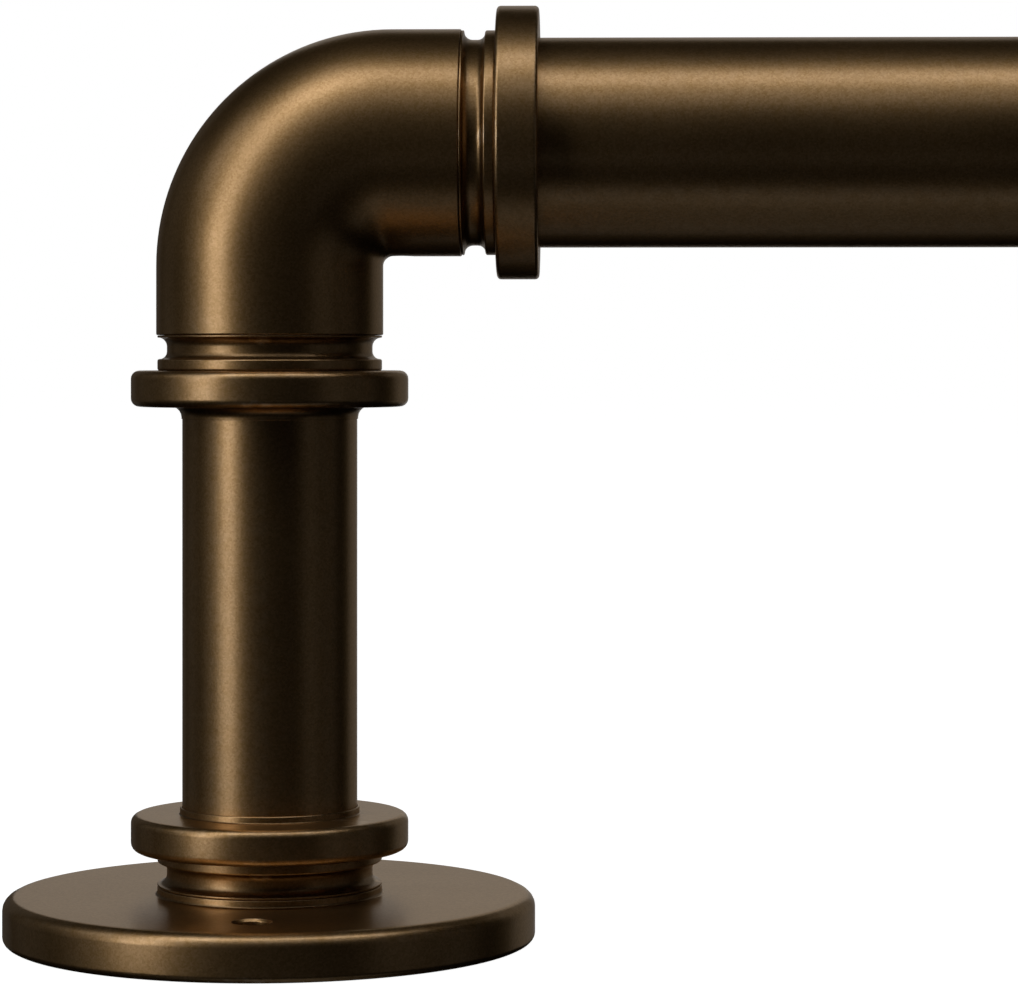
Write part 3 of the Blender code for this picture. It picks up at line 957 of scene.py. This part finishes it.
def make_bronze(finishes):
    """Satin dark bronze: flakes in a lacquer, with a painted highlight along convex edges and
    painted shade in recesses.
    """
    material, tree, shader, flakes = grained(
        "Dark bronze", 1.0, finishes.bronze_roughness, 0.03, finishes.flake_size, 14 * MM,
        finishes.flake_tilt, 0.02 * MM)
    shader.inputs["Coat Weight"].default_value = finishes.lacquer
    shader.inputs["Coat Roughness"].default_value = finishes.lacquer_roughness
    shader.inputs["Specular Tint"].default_value = (*finishes.bronze_glance, 1.0)
    wear_and_painted_light = group_node(tree, "Edge wear and painted light", edge_wear_and_painted_light_group, start=0.515, end=0.57,
                      patch_size=1.5 * MM).outputs
    body = mixed(tree, flakes["Flake"], finishes.bronze_deep, finishes.bronze)
    # Painted highlight: convex edges lightened towards pale tan, standing in for bright reflection
    # lines on the fillets
    edge_highlighted = mixed(tree, maths(tree, "MULTIPLY", wear_and_painted_light["Mask"], 0.6), body, finishes.bronze_painted_highlight)
    # Painted shade: recesses darkened towards near black
    shade_painted = mixed(tree, maths(tree, "MULTIPLY", wear_and_painted_light["Recess"], 0.85), edge_highlighted,
                   finishes.bronze_painted_shade)
    tree.links.new(shade_painted, shader.inputs["Base Color"])
    return material


def make_zinc(finishes):
    """Zinc plate with its faint crystal clouds."""
    material, tree, shader, flakes = grained(
        "Zinc plated steel", 1.0, 0.34, 0.08, 1.2 * MM, 5 * MM, 0.3, 0.02 * MM)
    plated = mixed(tree, flakes["Flake"], [c * 0.9 for c in finishes.zinc], finishes.zinc)
    tree.links.new(plated, shader.inputs["Base Color"])
    return material


def make_oxide(finishes):
    """Black oxide on steel, rubbed bright on the thread's crests."""
    material, tree, shader, flakes = grained(
        "Black oxide", 1.0, 0.43, 0.07, 0.3 * MM, 2 * MM, 0.3, 0.01 * MM)
    wear_and_painted_light = group_node(tree, "Edge wear and painted light", edge_wear_and_painted_light_group, start=0.54, end=0.64, patch_size=0.6 * MM)
    dark = mixed(tree, flakes["Flake"], [c * 0.7 for c in finishes.oxide], finishes.oxide)
    rubbed = maths(tree, "MULTIPLY", wear_and_painted_light.outputs["Mask"], 0.5)
    tree.links.new(mixed(tree, rubbed, dark, finishes.zinc), shader.inputs["Base Color"])
    return material


def make_nylon(finishes):
    """Moulded black nylon with a faint grain."""
    material, tree, shader, flakes = grained(
        "Black nylon", 0.0, 0.48, 0.08, 0.5 * MM, 6 * MM, 0.4, 0.03 * MM)
    moulded = mixed(tree, flakes["Cloud"], [c * 0.8 for c in finishes.nylon],
                    [c * 1.25 for c in finishes.nylon])
    tree.links.new(moulded, shader.inputs["Base Color"])
    return material


def finish_named(name):
    """A finish, made when a piece first asks for it."""
    makers = {"Dark bronze": make_bronze, "Zinc plated steel": make_zinc,
              "Black oxide": make_oxide, "Black nylon": make_nylon}
    return bpy.data.materials.get(name) or makers[name](bpy.context.scene.rod_finishes)


# ---------------- studio

def bearing(left, up):
    """The direction that many degrees left of the front, and that many above the level."""
    left, up = math.radians(left), math.radians(up)
    return Vector((-math.sin(left) * math.cos(up), -math.cos(left) * math.cos(up), math.sin(up)))


def softbox(name, aim, away, width, height, radiance):
    """A rectangular light that faces its aim, with a given radiance and hidden from the camera."""
    light = bpy.data.lights.new(name, "AREA")
    light.shape = "RECTANGLE"
    light.size = width
    light.size_y = height
    light.energy = radiance * math.pi * width * height
    lamp = new_object(name, light)
    lamp.location = aim + away
    lamp.rotation_euler = (aim - (aim + away)).to_track_quat("-Z", "Y").to_euler()
    lamp.visible_camera = False


class CURTAINROD_OT_studio(bpy.types.Operator):
    """Set the floor, the lights, the backdrop and the camera"""

    bl_idname = "curtain_rod.studio"
    bl_label = "Studio"

    def execute(self, context):
        studio = context.scene.rod_studio
        context.scene.view_settings.view_transform = "Standard"
        self.floor()
        self.backdrop(context, studio)
        self.lights(studio)
        self.camera(context, studio)
        return {"FINISHED"}

    def floor(self):
        """A sheet that glows white, so that no shadow shows on it, and that no metal reflects."""
        mesh = bpy.data.meshes.new("floor")
        signs = ((-1, -1), (1, -1), (1, 1), (-1, 1))
        corners = [(x * FLOOR_HALF, y * FLOOR_HALF, 0) for x, y in signs]
        mesh.from_pydata(corners, [], [(0, 1, 2, 3)])
        floor = new_object("floor", mesh)
        floor.location.z = -FLOOR_DROP
        material, _, _ = bare_material("Pale floor", {
            "Metallic": 0.0, "Roughness": 0.9, "Base Color": (0.3, 0.3, 0.3, 1.0),
            "Specular IOR Level": 0.0, "Emission Color": (1.0, 1.0, 1.0, 1.0),
            "Emission Strength": 1.0})
        mesh.materials.append(material)
        floor.visible_glossy = False
        floor.visible_diffuse = False
        floor.visible_shadow = False

    def backdrop(self, context, studio):
        """A white backdrop for the camera, and a dark room for the metal to reflect."""
        world = bpy.data.worlds.new("Backdrop")
        context.scene.world = world
        world.use_nodes = True
        tree = world.node_tree
        tree.nodes.clear()
        pale = node(tree, "ShaderNodeBackground", {
            "Color": (1.0, 1.0, 1.0, 1.0), "Strength": studio.backdrop})
        dark = node(tree, "ShaderNodeBackground", {
            "Color": (1.0, 0.85, 0.7, 1.0), "Strength": ROOM_GLOW})
        seen = node(tree, "ShaderNodeLightPath").outputs["Is Camera Ray"]
        mix = node(tree, "ShaderNodeMixShader", {0: seen, 1: dark.outputs[0], 2: pale.outputs[0]})
        node(tree, "ShaderNodeOutputWorld", {"Surface": mix.outputs[0]})

    def lights(self, studio):
        """Softboxes up the left side in an arch, long ones over the rod, weak fills, back cards."""
        low, arch, top = studio.key_strength, studio.arch_strength, studio.top_strength
        weak, card = studio.fill_strength, studio.card_strength
        heights = ((-1, low), (14, low), (32, arch), (49, arch * 0.85), (66, arch * 0.6))
        # name, degrees left and up of the front, distance, width, height, radiance
        boxes = [(f"Left softbox {up}", 51, up, 1.3, 0.42, 0.42, strength)
                 for up, strength in heights]
        boxes += [
            ("Side softbox", 78, 35, 1.3, 0.5, 0.6, arch * 0.28),
            ("Top softbox", -17, 71, 1.3, 1.8, 0.35, top),
            ("High front softbox", -9, 49, 1.3, 1.8, 0.4, top * 0.19),
            ("Low side fill", 78, 0, 1.3, 0.5, 0.6, weak),
            ("Right front fill", -60, 0, 1.2, 0.5, 1.0, weak * 0.7),
            ("Right fill", -90, 0, 1.2, 0.5, 1.0, weak * 0.5),
            ("Low front fill", -13, -64, 1.2, 1.6, 0.4, weak),
            ("Under fill", -90, -84, 1.2, 1.6, 0.4, weak),
            ("Left back fill", 118, 5, 1.0, 0.5, 0.9, weak * 0.6),
            ("Left back card", 152, 5, 1.0, 0.45, 0.9, card * 0.15),
            ("Back card", 180, 10, 1.0, 0.5, 0.9, card),
            ("Right back card", -147, 5, 1.0, 0.6, 0.9, card * 0.4),
            ("Table glow", 0, -20, 1.2, 1.3, 0.22, weak * 0.5),
        ]
        aim = Vector((post_axis("left"), 0, rod_height() * 0.8))
        for name, left, up, distance, width, height, radiance in boxes:
            softbox(name, aim, bearing(left, up) * distance, width, height, radiance)

    def camera(self, context, studio):
        """A long lens in front of the left bracket."""
        lens = bpy.data.cameras.new("Camera")
        lens.lens = studio.lens
        lens.sensor_width = 36.0
        lens.shift_y = -studio.camera_drop
        lens.clip_start = 0.01
        lens.clip_end = 100.0
        camera = new_object("Camera", lens)
        camera.location = Vector((post_axis("left"), 0, 0)) + Vector(studio.camera_offset)
        camera.rotation_euler = (math.pi / 2, 0.0, studio.camera_pan)
        context.scene.camera = camera


# ---------------- add-on

OPERATORS = (
    CURTAINROD_OT_wall_plates,
    CURTAINROD_OT_base_collars,
    CURTAINROD_OT_posts,
    CURTAINROD_OT_post_collars,
    CURTAINROD_OT_elbows,
    CURTAINROD_OT_rod_collars,
    CURTAINROD_OT_rod_tubes,
    CURTAINROD_OT_set_screws,
    CURTAINROD_OT_clamp_screws,
    CURTAINROD_OT_plugs,
    CURTAINROD_OT_nylon_fittings,
    CURTAINROD_OT_studio,
)


class CURTAINROD_PT_panel(bpy.types.Panel):
    """Lists the steps and the sizes and finishes that they use"""

    bl_idname = "CURTAINROD_PT_panel"
    bl_label = "Curtain Rod"
    bl_space_type = "VIEW_3D"
    bl_region_type = "UI"
    bl_category = "Curtain Rod"

    def draw(self, context):
        for setting in SETTINGS:
            group = getattr(context.scene, setting)
            box = self.layout.box()
            for name in group.__annotations__:
                box.prop(group, name)
        for operator in OPERATORS:
            self.layout.operator(operator.bl_idname)


SETTINGS = {"rod_sizes": RodSizes, "rod_finishes": RodFinishes, "rod_studio": RodStudio}
CLASSES = (*SETTINGS.values(), *OPERATORS, CURTAINROD_PT_panel)


def register():
    for each in CLASSES:
        bpy.utils.register_class(each)
    for name, group in SETTINGS.items():
        setattr(bpy.types.Scene, name, PointerProperty(type=group))


def unregister():
    for name in SETTINGS:
        delattr(bpy.types.Scene, name)
    for each in reversed(CLASSES):
        bpy.utils.unregister_class(each)


def main():
    register()
    for operator in OPERATORS:
        group, name = operator.bl_idname.split(".")
        getattr(getattr(bpy.ops, group), name)()


if __name__ == "__main__":
    main()
